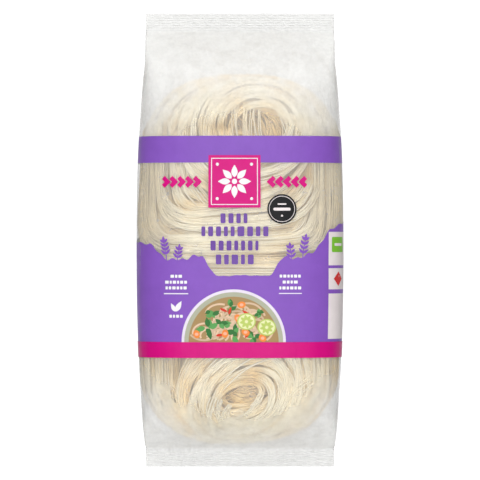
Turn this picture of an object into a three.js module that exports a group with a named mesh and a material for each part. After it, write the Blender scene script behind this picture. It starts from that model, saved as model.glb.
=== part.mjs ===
// A sealed bag of clear film, packed with nests of dried rice vermicelli, lying on its back.
// X runs across the front, Y runs from the bottom seal to the top seal, and Z is up.
// Millimetres. The origin is under the middle of the bag, on the surface that it lies on.
// The film holds what it is packed with all round, so the bag is one closed solid: a flat seal
// at each end, side gussets that fold inwards towards the seals, and a body with the soft
// outline of two nests end to end.

import * as THREE from "three";

// The whole bag
const bagLength = 265; // from one cut edge to the other
const bodyHalfWidth = 60.2; // at the widest, across the nests
const sealHalfWidth = 55.1; // at both cut edges
const bodyThickness = 52; // top of the front to the surface that the bag lies on
const topWidening = 104; // the sides run in from the middle to the top over this length
const bottomWidening = 122; // and to the bottom over this length
const wideningPower = 2.4; // how late the sides run in

// The seals
const sealDepth = 10; // of each crimped seal, along Y
const sealThickness = 1.2;
const sealHeight = 17; // of a seal's inner edge above the surface
const sealDroop = 1.5; // the cut edge hangs this much lower
const ribCount = 4; // crimped ribs across each seal
const ribHeight = 0.5;

// The shoulders, where the film closes from the body down to a seal
const topShoulder = 50; // length along Y
const bottomShoulder = 36;
const shoulderPower = 1.85; // 1 is straight, 2 is a full curve
const sealRoundness = 0.03; // of the section beside a seal: 0 is a box, 0.5 an ellipse
const bodyRoundness = 0.37; // of the section across the nests
const sunkUnderside = 1.4; // the round underside is pressed flat by this much
const gussetDepth = 21; // how far the side folds reach in
const gussetOpening = 0.2; // share of a shoulder over which the fold opens from the seal

// Soft relief in the film
const valleyAt = -11.6; // Y of the dip between the two nests
const valleyDepth = 2;
const valleyWidth = 9;
const foldDepth = 0.55; // of the folds that fan out from a seal over the shoulder
const broadFolds = 2.3; // broad waves across half the front
const narrowFolds = 4.9; // narrow waves across half the front
const foldLean = 0.9; // how far a fold wanders sideways as it runs, in radians

// Mesh
const panelSteps = 11; // from the middle of the front to a corner
const sideSteps = 5; // from a corner to the middle of a side
const shoulderRows = 11;
const bodyRows = 22;
const outlineSamples = 240; // points on a quarter of the fine outline that the mesh points are taken from

const halfLength = bagLength / 2;
const bodyHalfHeight = (bodyThickness + sunkUnderside) / 2;
const bodyMiddle = bodyHalfHeight - sunkUnderside;
const quarterSteps = panelSteps + sideSteps;
const aroundCount = 4 * quarterSteps;

const mix = (a, b, share) => a + (b - a) * share;

function smoothStep(value) {
  const t = THREE.MathUtils.clamp(value, 0, 1);
  return t * t * (3 - 2 * t);
}

// How far y is along the shoulder: 0 in a seal, 1 over the nests.
function shoulderShare(y) {
  const shoulder = y > 0 ? topShoulder : bottomShoulder;
  return THREE.MathUtils.clamp((halfLength - sealDepth - Math.abs(y)) / shoulder, 0, 1);
}

function halfWidthAt(y) {
  const reach = y > 0 ? topWidening : bottomWidening;
  const narrowed = Math.min(Math.abs(y) / reach, 1) ** wideningPower;
  return mix(bodyHalfWidth, sealHalfWidth, narrowed);
}

// The corrugation of a seal, which both faces follow.
function ribAt(y) {
  const intoSeal = Math.abs(y) - (halfLength - sealDepth);
  if (intoSeal <= 0) return 0;
  const along = intoSeal / sealDepth;
  return (ribHeight / 2) * Math.sin(2 * Math.PI * ribCount * along) - sealDroop * along;
}

// Everything that sets the outline of the bag across Y.
function sectionAt(y) {
  const share = shoulderShare(y);
  const rise = 1 - (1 - share) ** shoulderPower;
  const dip = Math.exp(-(((y - valleyAt) / valleyWidth) ** 2));
  return {
    y,
    share,
    halfWidth: halfWidthAt(y),
    halfHeight: mix(sealThickness / 2, bodyHalfHeight, rise),
    middle: mix(sealHeight, bodyMiddle, rise) + ribAt(y),
    roundness: mix(sealRoundness, bodyRoundness, smoothStep(share * 1.3)),
    gusset: gussetDepth * smoothStep(share / gussetOpening) * (1 - share) ** 1.3,
    frontDip: valleyDepth * dip,
    folds: foldDepth * Math.sin(Math.PI * share) ** 2,
  };
}

// One quarter of the outline, from the middle of the front to the middle of a side, as distances
// across and up from the middle: a superellipse whose side is folded in, and which is then made as
// wide as the bag is there. Points are evenly spaced along the panel and along the side.
function quarterOutline(section) {
  const power = 2 * section.roundness;
  const cornerUp = 0.5 ** section.roundness;
  const fine = [];
  for (let i = 0; i <= outlineSamples; i++) {
    const angle = (Math.PI / 2) * (1 - i / outlineSamples);
    const up = i < outlineSamples ? Math.sin(angle) ** power : 0;
    const across = i > 0 ? Math.cos(angle) ** power : 0;
    const fold = section.gusset * Math.max(1 - up / cornerUp, 0);
    fine.push([across * section.halfWidth - fold, up * section.halfHeight]);
  }
  const corner = outlineSamples / 2;
  const points = [
    ...evenly(fine.slice(0, corner + 1), panelSteps),
    ...evenly(fine.slice(corner), sideSteps),
    fine[outlineSamples],
  ];
  const widen = section.halfWidth / Math.max(...points.map(([across]) => across));
  return points.map(([across, up]) => [across * widen, up]);
}

// Points at equal steps along a stretch of outline, its last point left out.
function evenly(points, steps) {
  const travelled = [0];
  for (let i = 1; i < points.length; i++) {
    const [across, up] = [0, 1].map((axis) => points[i][axis] - points[i - 1][axis]);
    travelled.push(travelled[i - 1] + Math.hypot(across, up));
  }
  const total = travelled[travelled.length - 1];
  const spaced = [];
  let at = 1;
  for (let step = 0; step < steps; step++) {
    const wanted = (total * step) / steps;
    while (travelled[at] < wanted) at++;
    const share = (wanted - travelled[at - 1]) / (travelled[at] - travelled[at - 1] || 1);
    spaced.push(points[at - 1].map((value, axis) => mix(value, points[at][axis], share)));
  }
  return spaced;
}

// How far the folds and the dip between the nests push the film in, x across the front.
function reliefAt(section, x) {
  const across = x / section.halfWidth;
  const lean = foldLean * section.share * Math.sign(section.y);
  const broad = Math.cos(Math.PI * broadFolds * across + lean);
  const narrow = Math.cos(Math.PI * narrowFolds * across - 2 * lean);
  return section.frontDip + section.folds * (broad + narrow);
}

// A point of the film, from its place on a quarter outline and the quarter's directions.
function filmPoint(section, [across, up], right, top) {
  const x = right * across;
  let z = section.middle + top * up;
  if (top > 0) z -= reliefAt(section, x) * (up / section.halfHeight) ** 2;
  return new THREE.Vector3(x, section.y, Math.max(z, 0));
}

// The outline round the bag at one Y, starting at the middle of the front and turning to +X.
function ringAt(y) {
  const section = sectionAt(y);
  const quarter = quarterOutline(section);
  const ring = [];
  for (let i = 0; i < quarterSteps; i++) ring.push(filmPoint(section, quarter[i], 1, 1));
  for (let i = quarterSteps; i > 0; i--) ring.push(filmPoint(section, quarter[i], 1, -1));
  for (let i = 0; i < quarterSteps; i++) ring.push(filmPoint(section, quarter[i], -1, -1));
  for (let i = quarterSteps; i > 0; i--) ring.push(filmPoint(section, quarter[i], -1, 1));
  return ring;
}

// Y of every row, from the bottom cut edge to the top one.
function rowPlaces() {
  const sealRows = ribCount * 4;
  const stretches = [
    [-halfLength, -halfLength + sealDepth, sealRows],
    [-halfLength + sealDepth, -halfLength + sealDepth + bottomShoulder, shoulderRows],
    [-halfLength + sealDepth + bottomShoulder, halfLength - sealDepth - topShoulder, bodyRows],
    [halfLength - sealDepth - topShoulder, halfLength - sealDepth, shoulderRows],
    [halfLength - sealDepth, halfLength, sealRows],
  ];
  const places = [];
  for (const [from, to, count] of stretches)
    for (let i = 0; i < count; i++) places.push(mix(from, to, i / count));
  return [...places, halfLength];
}

// The closed surface through all the rings, with a flat strip across each cut edge.
function bagGeometry() {
  const rings = rowPlaces().map(ringAt);
  const vertices = rings.flat().flatMap((point) => point.toArray());
  const indices = [];
  const corner = (row, turn) => row * aroundCount + (turn % aroundCount);
  for (let row = 0; row + 1 < rings.length; row++) {
    for (let turn = 0; turn < aroundCount; turn++) {
      const [a, b] = [corner(row, turn), corner(row, turn + 1)];
      const [c, d] = [corner(row + 1, turn), corner(row + 1, turn + 1)];
      indices.push(a, d, c, a, b, d);
    }
  }
  // Point i of the front of a ring lies over point half - i of its back.
  const half = aroundCount / 2;
  const last = rings.length - 1;
  for (let i = -half / 2; i < half / 2; i++) {
    const front = [i, i + 1].map((turn) => (turn + aroundCount) % aroundCount);
    const back = [half - i, half - i - 1].map((turn) => (turn + aroundCount) % aroundCount);
    for (const row of [0, last]) {
      const [a, b] = front.map((turn) => corner(row, turn));
      const [c, d] = back.map((turn) => corner(row, turn));
      const faces = [
        [a, b, d],
        [a, d, c],
      ];
      for (const face of faces) {
        if (new Set(face).size < 3) continue;
        indices.push(...(row === last ? face : face.reverse()));
      }
    }
  }
  const geometry = new THREE.BufferGeometry();
  geometry.setAttribute("position", new THREE.Float32BufferAttribute(vertices, 3));
  geometry.setIndex(indices);
  geometry.computeVertexNormals();
  return geometry;
}

// Milky clear film over cream noodles.
function filmMaterial() {
  return new THREE.MeshStandardMaterial({ color: 0xe9e2d0, roughness: 0.35, metalness: 0 });
}

function makeBag() {
  const bag = new THREE.Mesh(bagGeometry(), filmMaterial());
  bag.name = "noodle_bag";
  return bag;
}

const pack = new THREE.Group();
pack.name = "vermicelli_pack";
pack.add(makeBag());

export default pack;
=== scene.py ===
import math

import bpy
import numpy as np
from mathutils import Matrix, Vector
from mathutils.geometry import delaunay_2d_cdt


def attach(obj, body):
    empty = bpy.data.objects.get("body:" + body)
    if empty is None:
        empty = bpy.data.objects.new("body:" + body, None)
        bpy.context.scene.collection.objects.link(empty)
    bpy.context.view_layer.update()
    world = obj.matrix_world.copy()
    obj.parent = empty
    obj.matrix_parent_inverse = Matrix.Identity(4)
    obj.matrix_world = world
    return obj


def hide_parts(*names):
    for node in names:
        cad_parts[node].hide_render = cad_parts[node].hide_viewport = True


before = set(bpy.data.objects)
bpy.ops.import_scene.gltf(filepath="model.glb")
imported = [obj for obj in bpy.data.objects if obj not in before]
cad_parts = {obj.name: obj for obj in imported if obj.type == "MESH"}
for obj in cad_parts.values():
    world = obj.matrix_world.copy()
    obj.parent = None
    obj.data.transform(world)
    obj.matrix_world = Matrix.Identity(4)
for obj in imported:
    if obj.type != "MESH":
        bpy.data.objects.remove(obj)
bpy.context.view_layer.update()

# A clear film pack of rice vermicelli nests, lying on its back.
# X runs across the printed front, Y from the bottom seal to the top seal, Z is up.
# Shapes are worked out in millimetres and turned into metres when a mesh is made.
metres = 0.001

# The film's outline, the same as that of the solid it replaces.
bag = {
    "length": 265.0,
    "bodyHalfWidth": 60.2,
    "sealHalfWidth": 55.1,
    "thickness": 52.0,
    "topWidening": 104.0,  # the sides run in from the middle to the top over this length
    "bottomWidening": 122.0,
    "wideningPower": 2.4,
    "sealDepth": 10.0,
    "sealThickness": 0.5,
    "sealHeight": 17.0,
    "sealDroop": 1.5,
    "ribCount": 7,
    "ribHeight": 0.28,
    "topShoulder": 50.0,
    "bottomShoulder": 36.0,
    "shoulderPower": 1.85,
    "sealRoundness": 0.03,
    "bodyRoundness": 0.37,
    "sunkUnderside": 1.4,
    "gussetDepth": 21.0,
    "gussetOpening": 0.2,
    "valleyAt": -11.6,
    "valleyDepth": 2.0,
    "valleyWidth": 9.0,
    "foldDepth": 0.55,
    "broadFolds": 2.3,
    "narrowFolds": 4.9,
    "foldLean": 0.9,
}
filmGrid = {
    "panelSteps": 40,  # from the middle of the front to a corner
    "sideSteps": 18,
    "sealRows": 42,
    "rowSpacing": 1.6,
    "outlineSamples": 800,
    "heightReach": 61,  # of the grid of heights, to both sides
}
halfLength = bag["length"] / 2
sealInner = halfLength - bag["sealDepth"]
bodyHalfHeight = (bag["thickness"] + bag["sunkUnderside"]) / 2
bodyMiddle = bodyHalfHeight - bag["sunkUnderside"]
quarterSteps = filmGrid["panelSteps"] + filmGrid["sideSteps"]
aroundCount = 4 * quarterSteps


def mix(a, b, share):
    return a + (b - a) * share


def smoothStep(value):
    t = np.clip(value, 0, 1)
    return t * t * (3 - 2 * t)


def unit(vectors):
    return vectors / np.clip(np.linalg.norm(vectors, axis=-1, keepdims=True), 1e-9, None)


def shoulderShare(y):  # 0 in a seal, 1 over the nests
    shoulder = bag["topShoulder"] if y > 0 else bag["bottomShoulder"]
    return min(max((sealInner - abs(y)) / shoulder, 0), 1)


def halfWidthAt(y):
    reach = bag["topWidening"] if y > 0 else bag["bottomWidening"]
    narrowed = min(abs(y) / reach, 1) ** bag["wideningPower"]
    return mix(bag["bodyHalfWidth"], bag["sealHalfWidth"], narrowed)


def ribAt(y):  # the crimped ribs of a seal, which both faces follow
    along = (abs(y) - sealInner) / bag["sealDepth"]
    if along <= 0:
        return 0.0
    wave = math.sin(2 * math.pi * bag["ribCount"] * along)
    return bag["ribHeight"] / 2 * wave - bag["sealDroop"] * along


def sectionAt(y):
    share = shoulderShare(y)
    rise = 1 - (1 - share) ** bag["shoulderPower"]
    opened = smoothStep(share / bag["gussetOpening"])
    return {
        "share": share,
        "halfWidth": halfWidthAt(y),
        "halfHeight": mix(bag["sealThickness"] / 2, bodyHalfHeight, rise),
        "middle": mix(bag["sealHeight"], bodyMiddle, rise) + ribAt(y),
        "roundness": mix(bag["sealRoundness"], bag["bodyRoundness"], smoothStep(share * 1.3)),
        "gusset": bag["gussetDepth"] * opened * (1 - share) ** 1.3,
        "frontDip": bag["valleyDepth"] * math.exp(-(((y - bag["valleyAt"]) / bag["valleyWidth"]) ** 2)),
        "folds": bag["foldDepth"] * math.sin(math.pi * share) ** 2,
    }


def evenly(points, steps):  # points at equal steps along an outline, its last point left out
    gone = np.concatenate([[0], np.cumsum(np.hypot(*np.diff(points, axis=0).T))])
    wanted = np.arange(steps) * gone[-1] / steps
    return np.stack([np.interp(wanted, gone, points[:, axis]) for axis in (0, 1)], axis=1)


# One quarter of the outline, from the middle of the front to the middle of a side: a
# superellipse whose side is folded in, made as wide as the bag is there.
def quarterOutline(section):
    angle = np.linspace(math.pi / 2, 0, filmGrid["outlineSamples"] + 1)
    up = np.clip(np.sin(angle), 0, 1) ** (2 * section["roundness"])
    across = np.clip(np.cos(angle), 0, 1) ** (2 * section["roundness"])
    across[0] = 0
    fold = section["gusset"] * np.clip(1 - up / 0.5 ** section["roundness"], 0, None)
    fine = np.stack([across * section["halfWidth"] - fold, up * section["halfHeight"]], axis=1)
    corner = filmGrid["outlineSamples"] // 2
    front = evenly(fine[: corner + 1], filmGrid["panelSteps"])
    side = evenly(fine[corner:], filmGrid["sideSteps"])
    points = np.concatenate([front, side, fine[-1:]])
    points[:, 0] *= section["halfWidth"] / points[:, 0].max()
    return points


def filmRing(y):  # starts at the middle of the front and turns to +X
    section = sectionAt(y)
    quarter = quarterOutline(section)
    out, back = quarter[:-1], quarter[:0:-1]
    x, up = np.concatenate([out, back * [1, -1], out * [-1, -1], back * [-1, 1]]).T
    lean = bag["foldLean"] * section["share"] * np.sign(y)
    across = math.pi * x / section["halfWidth"]
    waves = np.cos(bag["broadFolds"] * across + lean) + np.cos(bag["narrowFolds"] * across - 2 * lean)
    relief = (section["frontDip"] + section["folds"] * waves) * (up / section["halfHeight"]) ** 2
    z = section["middle"] + up - np.where(up > 0, relief, 0)
    return np.stack([x, np.full_like(x, y), np.clip(z, 0, None)], axis=1)


def filmRows():
    topEdge, bottomEdge = sealInner - bag["topShoulder"], -sealInner + bag["bottomShoulder"]
    edges = [-halfLength, -sealInner, bottomEdge, topEdge, sealInner, halfLength]
    rows = []
    for index, (start, end) in enumerate(zip(edges, edges[1:])):
        inSeal = index in (0, 4)
        count = filmGrid["sealRows"] if inSeal else math.ceil((end - start) / filmGrid["rowSpacing"])
        rows.extend(np.linspace(start, end, count, endpoint=False))
    return np.array([*rows, halfLength])


rowPlaces = filmRows()
rings = np.stack([filmRing(y) for y in rowPlaces])

# Small creases in the film where no nest holds it tight, along lines that fan out from the seals.
creases = {
    "seed": 11,
    "count": 46,
    "depth": 0.42,
    "width": 1.5,
    "length": (16.0, 44.0),
    "onFront": 0.55,  # share of the creases
    "startAcross": 50.0,  # how far a crease starts from the middle at most, and from a seal
    "startAlong": 16.0,
    "fan": (0.3, 0.25),  # how much it leans by chance and towards its side, in radians
    "bend": 2.5,
}


def addCreases(grid):
    rng = np.random.default_rng(creases["seed"])
    x, y = grid[:, :, 0], grid[:, :, 1]
    turn = np.arange(aroundCount)
    front = (turn < quarterSteps) | (turn >= 3 * quarterSteps)
    for _ in range(creases["count"]):
        end = rng.choice([-1, 1])
        onFront = rng.random() < creases["onFront"]
        startX = rng.uniform(-1, 1) * creases["startAcross"]
        startY = end * (sealInner - rng.uniform(0, creases["startAlong"]))
        lean = creases["fan"][0] * rng.normal() - creases["fan"][1] * startX / creases["startAcross"]
        heading = np.array([math.sin(lean), -end * math.cos(lean)])
        length = rng.uniform(*creases["length"])
        along = (x - startX) * heading[0] + (y - startY) * heading[1]
        bend = rng.uniform(-creases["bend"], creases["bend"]) * (along / length) ** 2
        aside = -(x - startX) * heading[1] + (y - startY) * heading[0] - bend
        width = creases["width"] * rng.uniform(0.7, 1.8)
        shape = np.exp(-((aside / width) ** 2)) * np.sin(math.pi * np.clip(along / length, 0, 1)) ** 1.2
        rise = creases["depth"] * rng.uniform(0.4, 1) * rng.choice([-1, 0.8]) * shape
        clear = smoothStep((sealInner - np.abs(y)) / 4)
        grid[:, :, 2] += rise * clear * (front if onFront else ~front) * (1 if onFront else -1)
    grid[:, :, 2] = np.clip(grid[:, :, 2], 0, None)


def outward(grid):  # unit normals at the grid's points
    around = np.roll(grid, -1, axis=1) - np.roll(grid, 1, axis=1)
    return unit(np.cross(around, np.gradient(grid, axis=0)))


addCreases(rings)
ringNormals = outward(rings)
# Each ring closed on itself, with its points and then their normals.
ringWays = np.concatenate([rings, ringNormals], axis=2)
ringWays = np.concatenate([ringWays, ringWays[:, :1]], axis=1)
ringSteps = np.linalg.norm(np.diff(ringWays[:, :, :3], axis=1), axis=2)
ringTravel = np.concatenate([np.zeros((len(rings), 1)), np.cumsum(ringSteps, axis=1)], axis=1)
girth = ringTravel[:, -1].max()


# Where points of the flat artwork lie, lifted off the film. The artwork's X is measured round the
# bag from the middle of the front.
def onFilm(points, lift):
    row = np.interp(points[:, 1], rowPlaces, np.arange(len(rowPlaces)))
    low = np.clip(np.floor(row).astype(int), 0, len(rowPlaces) - 2)
    turn = (points[:, 0] / girth) % 1
    found = []
    for ring in (low, low + 1):
        values = np.zeros((len(points), 6))
        for index in np.unique(ring):
            mine = ring == index
            travel = turn[mine] * ringTravel[index, -1]
            for column in range(6):
                values[mine, column] = np.interp(travel, ringTravel[index], ringWays[index, :, column])
        found.append(values)
    values = mix(*found, (row - low)[:, None])
    return values[:, :3] + lift * unit(values[:, 3:])


# The artwork's X for a place that is x to the right of the front's middle, seen from the front.
def roundAt(x):
    row = len(rings) // 2
    widest = rings[row, : quarterSteps + 1, 0].argmax()
    travel = ringTravel[row, : widest + 1] * girth / ringTravel[row, -1]
    return np.sign(x) * np.interp(np.abs(x), rings[row, : widest + 1, 0], travel)


def makePiece(name, vertices, faces, material):
    mesh = bpy.data.meshes.new(name)
    mesh.from_pydata((np.asarray(vertices) * metres).tolist(), [], faces)
    mesh.validate()
    mesh.materials.append(material)
    mesh.polygons.foreach_set("use_smooth", [True] * len(mesh.polygons))
    piece = bpy.data.objects.new(name, mesh)
    bpy.context.scene.collection.objects.link(piece)
    return piece


def addValues(mesh, name, values):
    layer = mesh.attributes.new(name, "FLOAT", "POINT")
    layer.data.foreach_set("value", np.asarray(values, dtype=np.float32).ravel())


def ringFaces(ringCount, around):
    faces = []
    for ring in range(ringCount - 1):
        for turn in range(around):
            a, b = ring * around + turn, ring * around + (turn + 1) % around
            faces.append((a, b, b + around, a + around))
    return faces


def dress(piece):  # what every finished piece tells the frame
    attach(piece, "root")
    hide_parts("noodle_bag")


# Node inputs are given by name or number, each as a value or as the socket that feeds it.
def feed(tree, node, inputs):
    for name, value in inputs.items():
        if isinstance(value, bpy.types.NodeSocket):
            tree.links.new(value, node.inputs[name])
        else:
            node.inputs[name].default_value = value


def addNode(tree, kind, place, inputs=None, **settings):
    node = tree.nodes.new(kind)
    node.location = place
    for name, value in settings.items():
        setattr(node, name, value)
    feed(tree, node, inputs or {})
    return node


def attribute(tree, name, place, output="Fac"):
    return addNode(tree, "ShaderNodeAttribute", place, attribute_name=name).outputs[output]


def calculate(tree, operation, place, *operands):
    inputs = dict(enumerate(operands))
    return addNode(tree, "ShaderNodeMath", place, inputs, operation=operation).outputs["Value"]


def remap(tree, value, low, high, place):
    inputs = {"Value": value, "To Min": low, "To Max": high}
    return addNode(tree, "ShaderNodeMapRange", place, inputs).outputs["Result"]


def blend(tree, factor, first, second, place):
    inputs = {"Factor": factor, 6: first, 7: second}
    return addNode(tree, "ShaderNodeMix", place, inputs, data_type="RGBA").outputs[2]


def scaleColour(tree, colour, share):
    inputs = {0: colour, "Scale": share}
    return addNode(tree, "ShaderNodeVectorMath", (-450, 120), inputs, operation="SCALE").outputs["Vector"]


def shadowShare(tree, share, place):  # lets light through: 1, but share to a shadow ray
    light = addNode(tree, "ShaderNodeLightPath", place)
    return remap(tree, light.outputs["Is Shadow Ray"], 1.0, share, (place[0] + 250, place[1]))


def newMaterial(name):
    material = bpy.data.materials.new(name)
    material.use_nodes = True
    return material, material.node_tree, material.node_tree.nodes["Principled BSDF"]


# A soft uneven mask over the surface, between Low and High.
def makeMottleGroup():
    tree = bpy.data.node_groups.new("softMottle", "ShaderNodeTree")
    for name, value in (("Grain Size", 0.004), ("Stretch", 1.0), ("Low", 0.0), ("High", 1.0)):
        socket = tree.interface.new_socket(name, in_out="INPUT", socket_type="NodeSocketFloat")
        socket.default_value = value
    tree.interface.new_socket("Mask", in_out="OUTPUT", socket_type="NodeSocketFloat")
    given = addNode(tree, "NodeGroupInput", (-900, 0)).outputs
    place = addNode(tree, "ShaderNodeTexCoord", (-900, 300)).outputs["Object"]
    inputs = {"X": 1.0, "Y": given["Stretch"], "Z": 1.0}
    stretch = addNode(tree, "ShaderNodeCombineXYZ", (-720, 120), inputs)
    inputs = {0: place, 1: stretch.outputs["Vector"]}
    scaled = addNode(tree, "ShaderNodeVectorMath", (-540, 240), inputs, operation="MULTIPLY")
    finer = calculate(tree, "DIVIDE", (-720, -120), 1.0, given["Grain Size"])
    inputs = {"Vector": scaled.outputs["Vector"], "Scale": finer, "Detail": 3.0, "Roughness": 0.6}
    noise = addNode(tree, "ShaderNodeTexNoise", (-360, 120), inputs)
    inputs = {"Value": noise.outputs["Fac"], "From Min": 0.3, "From Max": 0.7}
    limits = addNode(tree, "ShaderNodeMapRange", (-120, 60), inputs)
    feed(tree, limits, {"To Min": given["Low"], "To Max": given["High"]})
    addNode(tree, "NodeGroupOutput", (300, 0), {"Mask": limits.outputs["Result"]})
    return tree


mottleGroup = makeMottleGroup()


def addMottle(tree, place, grain, low, high, stretch=1.0):
    node = addNode(tree, "ShaderNodeGroup", place, node_tree=mottleGroup)
    feed(tree, node, {"Grain Size": grain, "Stretch": stretch, "Low": low, "High": high})
    return node.outputs["Mask"]


filmLook = {
    "colour": (0.76, 0.76, 0.745, 1),
    "paintedSlopeLight": (0.82, 0.82, 0.8, 1),  # painted light: the film is painted lighter where it runs down to a seal, on its sloping shoulders
    "sealColour": (0.72, 0.72, 0.71, 1),
    "roughness": (0.3, 0.42),
    "clearest": 0.27,  # opacity over the nests
    "milkiest": 0.78,  # opacity well away from the nests
    "edgeOpacity": (0.4, -0.65),  # added where it is seen edge on, over the nests and away from them
    "edgePower": 3.0,
    "mottle": (0.84, 1.16),
    "shading": 0.25,  # share of its opacity with which the film shades what is under it
    # Where haze starts from a nest's middle to its outline and its reach, then where along the nest
    # the film's sides start to come loose and over what reach, for the upper and the lower nest.
    "haze": ((0.45, 0.6, 0.06, 0.5), (0.62, 0.45, -0.14, 0.65)),
    "rippleSize": 0.007,
    "rippleDepth": 0.0002,
}


def addRipple(tree, shader, distance):
    height = addMottle(tree, (-500, -820), filmLook["rippleSize"], 0, 1, 0.5)
    inputs = {"Height": height, "Strength": 1.0, "Distance": distance}
    bump = addNode(tree, "ShaderNodeBump", (-200, -420), inputs)
    feed(tree, shader, {"Normal": bump.outputs["Normal"]})


def makeFilmMaterial():
    material, tree, shader = newMaterial("milkyFilm")
    look = filmLook
    # The film's slopes towards the seals are painted lighter, as painted light
    slope, sealed = attribute(tree, "slope", (-900, 500)), attribute(tree, "sealed", (-700, 200))
    colour = blend(tree, slope, look["colour"], look["paintedSlopeLight"], (-650, 450))
    colour = blend(tree, sealed, colour, look["sealColour"], (-400, 250))
    haze = attribute(tree, "haze", (-1500, -200))
    opacity = remap(tree, haze, look["clearest"], look["milkiest"], (-1300, -200))
    edge = addNode(tree, "ShaderNodeLayerWeight", (-1500, -400), {"Blend": 0.5}).outputs["Facing"]
    steep = calculate(tree, "POWER", (-1300, -400), edge, look["edgePower"])
    denser = remap(tree, haze, *look["edgeOpacity"], (-1300, -600))
    opacity = calculate(tree, "MULTIPLY_ADD", (-1100, -400), steep, denser, opacity)
    uneven = addMottle(tree, (-900, -480), 0.008, *look["mottle"])
    opacity = calculate(tree, "MULTIPLY", (-650, -220), opacity, uneven)
    passed = shadowShare(tree, look["shading"], (-900, -700))
    values = {"Base Color": colour, "Specular IOR Level": 0.2}
    values["Roughness"] = addMottle(tree, (-500, 0), 0.012, *look["roughness"])
    values["Alpha"] = calculate(tree, "MULTIPLY", (-400, -220), opacity, passed)
    feed(tree, shader, values)
    addRipple(tree, shader, look["rippleDepth"])
    return material


noodleLook = {
    "pale": (0.865, 0.795, 0.605, 1),
    "golden": (0.88, 0.64, 0.27, 1),
    "roughness": (0.38, 0.55),
    "toneSpread": 0.4,
    "shading": 0.35,  # opacity to the light, which a thin noodle lets through in part
}


def makeNoodleMaterial():
    material, tree, shader = newMaterial("driedNoodle")
    look = noodleLook
    # Deeper strands are painted golden and darker as painted shade of the pile; the tone attribute holds
    # each strand's random tone together with the painted shade at the nests' sides
    colour = blend(tree, attribute(tree, "depth", (-1100, 200)), look["pale"], look["golden"], (-700, 200))
    tone = remap(tree, attribute(tree, "tone", (-1100, -50)), 1 - look["toneSpread"], 1.0, (-900, -50))
    tone = calculate(tree, "MULTIPLY", (-700, -80), tone, addMottle(tree, (-900, -350), 0.006, 0.95, 1.0))
    values = {"Base Color": scaleColour(tree, colour, tone), "Specular IOR Level": 0.3}
    values["Roughness"] = addMottle(tree, (-450, -200), 0.003, *look["roughness"])
    values["Alpha"] = shadowShare(tree, look["shading"], (-900, -600))
    feed(tree, shader, values)
    return material


inks = {  # each with its colour and its slot
    "purple": ((0.222, 0.092, 0.468), "purple_print"),
    "title": ((0.155, 0.074, 0.33), "purple_print"),
    "pink": ((0.6, 0.004, 0.19), "pink_print"),
    "white": ((0.8, 0.79, 0.81), "white_print"),
    "paper": ((0.78, 0.71, 0.71), "white_print"),
    "black": ((0.004, 0.004, 0.005), "black_print"),
    "picture": (None, "picture_print"),  # keeps its colours in its own attribute
}
inkLook = {
    "roughness": (0.33, 0.45),
    "fade": 0.93,  # the palest patches' share of the full colour's depth
}


def makeInkMaterial(name, colour):
    material, tree, shader = newMaterial(name)
    if colour is None:
        source = attribute(tree, "ink", (-800, 200), "Color")
    else:
        source = addNode(tree, "ShaderNodeRGB", (-800, 200)).outputs[0]
        source.default_value = (*colour, 1)
    fade = addMottle(tree, (-700, -60), 0.009, inkLook["fade"], 1.0)
    values = {"Base Color": scaleColour(tree, source, fade), "Specular IOR Level": 0.12}
    values["Roughness"] = addMottle(tree, (-700, -300), 0.015, *inkLook["roughness"])
    feed(tree, shader, values)
    addRipple(tree, shader, filmLook["rippleDepth"] / 2)
    return material


filmMaterial = makeFilmMaterial()
noodleMaterial = makeNoodleMaterial()
inkMaterials = {name: makeInkMaterial(name + "Ink", colour) for name, (colour, slot) in inks.items()}
print("materials made")


def sample(field, row, column):  # a grid's value between its points
    row = np.clip(row, 0, field.shape[0] - 1.001)
    column = np.clip(column, 0, field.shape[1] - 1.001)
    i, j = row.astype(int), column.astype(int)
    near = mix(field[i, j], field[i, j + 1], column - j)
    far = mix(field[i + 1, j], field[i + 1, j + 1], column - j)
    return mix(near, far, row - i)


# Heights of the film's front and back over any point, on a regular grid.
def filmHeights():
    reach = filmGrid["heightReach"]
    across = np.linspace(-reach, reach, 2 * reach + 1)
    half = 2 * quarterSteps
    heights = []
    for rightSide, leftSide in (
        (slice(0, quarterSteps + 1), slice(-1, -quarterSteps - 1, -1)),
        (slice(half, quarterSteps - 1, -1), slice(half, half + quarterSteps + 1)),
    ):
        field = np.empty((len(rowPlaces), len(across)))
        for index, ring in enumerate(rings):
            right, left = ring[rightSide], ring[leftSide]
            right, left = right[: right[:, 0].argmax() + 1], left[: left[:, 0].argmin() + 1]
            line = np.concatenate([left[::-1], right])
            field[index] = np.interp(across, line[:, 0], line[:, 2])
        heights.append(field)
    return across, *heights


heightAcross, heightTop, heightBottom = filmHeights()
filmReach = rings[:, :, 0].max(axis=1)


def heightAt(field, x, y):
    row = np.interp(y, rowPlaces, np.arange(len(rowPlaces)))
    column = np.interp(x, heightAcross, np.arange(len(heightAcross)))
    return sample(field, row, column)


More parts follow.
